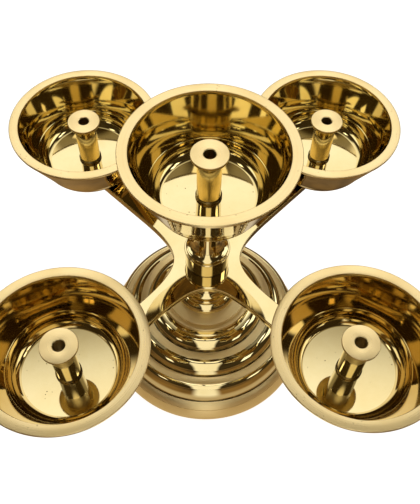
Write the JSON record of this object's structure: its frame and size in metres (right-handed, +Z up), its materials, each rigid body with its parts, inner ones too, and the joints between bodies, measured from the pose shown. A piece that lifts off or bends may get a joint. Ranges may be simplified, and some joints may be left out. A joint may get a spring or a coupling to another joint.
{
  "type": "standing oil lamp",
  "caption": "Standing brass oil lamp: a stepped round foot and turned column carry a plate of spreading arms, with an oil cup and wick post on each arm and a raised one in the middle.",
  "frame": {"origin": "middle of the foot's underside, on the surface that the lamp stands on", "axes": "+Z up along the column; the arms lie on the diagonals between +X and +Y; -Y is the front"},
  "size_m": [0.146, 0.146, 0.1167],
  "materials": {
    "polished_brass": "turned and mirror polished",
    "satin_brass": "satin, with fine turning marks",
    "plated_steel": "dull zinc plating"
  },
  "bodies": {
    "stand": {"base_shell": "polished_brass", "lower_column": "polished_brass", "tie_rod": "plated_steel", "collar": "polished_brass", "upper_stem": "polished_brass"},
    "arm_plate": {"spider_plate": "polished_brass"},
    "centre_cup": {"cup_centre": "polished_brass", "wick_post_centre": "satin_brass"},
    "base_washer_body": {"base_washer": "plated_steel"},
    "base_nut_body": {"base_nut": "plated_steel"},
    "back_right_cup": {"cup_back_right": "polished_brass", "wick_post_back_right": "satin_brass"},
    "back_right_washer": {"arm_washer_back_right": "plated_steel"},
    "back_right_screw": {"arm_screw_back_right": "plated_steel"},
    "back_left_cup": {"cup_back_left": "polished_brass", "wick_post_back_left": "satin_brass"},
    "back_left_washer": {"arm_washer_back_left": "plated_steel"},
    "back_left_screw": {"arm_screw_back_left": "plated_steel"},
    "front_left_cup": {"cup_front_left": "polished_brass", "wick_post_front_left": "satin_brass"},
    "front_left_washer": {"arm_washer_front_left": "plated_steel"},
    "front_left_screw": {"arm_screw_front_left": "plated_steel"},
    "front_right_cup": {"cup_front_right": "polished_brass", "wick_post_front_right": "satin_brass"},
    "front_right_washer": {"arm_washer_front_right": "plated_steel"},
    "front_right_screw": {"arm_screw_front_right": "plated_steel"}
  },
  "joints": [
    {"name": "arm_plate_swivel", "type": "hinge", "parent": "stand", "child": "arm_plate", "pos_m": [0, 0, 0.0551], "axis": [0, 0, 1], "continuous": true},
    {"name": "centre_cup_turn", "type": "hinge", "parent": "stand", "child": "centre_cup", "pos_m": [0, 0, 0.0903], "axis": [0, 0, 1], "continuous": true},
    {"name": "base_washer_drop", "type": "slide", "parent": "stand", "child": "base_washer_body", "axis": [0, 0, -1], "range_m": [0, 0.008]},
    {"name": "base_nut_turn", "type": "hinge", "parent": "base_washer_body", "child": "base_nut_body", "pos_m": [0, 0, 0.026], "axis": [0, 0, -1], "range_deg": [0, 2880]},
    {"name": "back_right_cup_turn", "type": "hinge", "parent": "arm_plate", "child": "back_right_cup", "pos_m": [0.04547, 0.04547, 0.0566], "axis": [0, 0, 1], "continuous": true},
    {"name": "back_right_washer_drop", "type": "slide", "parent": "arm_plate", "child": "back_right_washer", "axis": [0, 0, -1], "range_m": [0, 0.0049]},
    {"name": "back_right_screw_turn", "type": "hinge", "parent": "back_right_washer", "child": "back_right_screw", "pos_m": [0.04547, 0.04547, 0.0527], "axis": [0, 0, -1], "range_deg": [0, 2520]},
    {"name": "back_left_cup_turn", "type": "hinge", "parent": "arm_plate", "child": "back_left_cup", "pos_m": [-0.04547, 0.04547, 0.0566], "axis": [0, 0, 1], "continuous": true},
    {"name": "back_left_washer_drop", "type": "slide", "parent": "arm_plate", "child": "back_left_washer", "axis": [0, 0, -1], "range_m": [0, 0.0049]},
    {"name": "back_left_screw_turn", "type": "hinge", "parent": "back_left_washer", "child": "back_left_screw", "pos_m": [-0.04547, 0.04547, 0.0527], "axis": [0, 0, -1], "range_deg": [0, 2520]},
    {"name": "front_left_cup_turn", "type": "hinge", "parent": "arm_plate", "child": "front_left_cup", "pos_m": [-0.04547, -0.04547, 0.0566], "axis": [0, 0, 1], "continuous": true},
    {"name": "front_left_washer_drop", "type": "slide", "parent": "arm_plate", "child": "front_left_washer", "axis": [0, 0, -1], "range_m": [0, 0.0049]},
    {"name": "front_left_screw_turn", "type": "hinge", "parent": "front_left_washer", "child": "front_left_screw", "pos_m": [-0.04547, -0.04547, 0.0527], "axis": [0, 0, -1], "range_deg": [0, 2520]},
    {"name": "front_right_cup_turn", "type": "hinge", "parent": "arm_plate", "child": "front_right_cup", "pos_m": [0.04547, -0.04547, 0.0566], "axis": [0, 0, 1], "continuous": true},
    {"name": "front_right_washer_drop", "type": "slide", "parent": "arm_plate", "child": "front_right_washer", "axis": [0, 0, -1], "range_m": [0, 0.0049]},
    {"name": "front_right_screw_turn", "type": "hinge", "parent": "front_right_washer", "child": "front_right_screw", "pos_m": [0.04547, -0.04547, 0.0527], "axis": [0, 0, -1], "range_deg": [0, 2520]}
  ],
  "couplings": [
    {"joint": "base_nut_turn", "follows": "base_washer_drop", "rad_per_m": 6283.2},
    {"joint": "back_right_screw_turn", "follows": "back_right_washer_drop", "rad_per_m": 8976},
    {"joint": "back_left_screw_turn", "follows": "back_left_washer_drop", "rad_per_m": 8976},
    {"joint": "front_left_screw_turn", "follows": "front_left_washer_drop", "rad_per_m": 8976},
    {"joint": "front_right_screw_turn", "follows": "front_right_washer_drop", "rad_per_m": 8976}
  ]
}
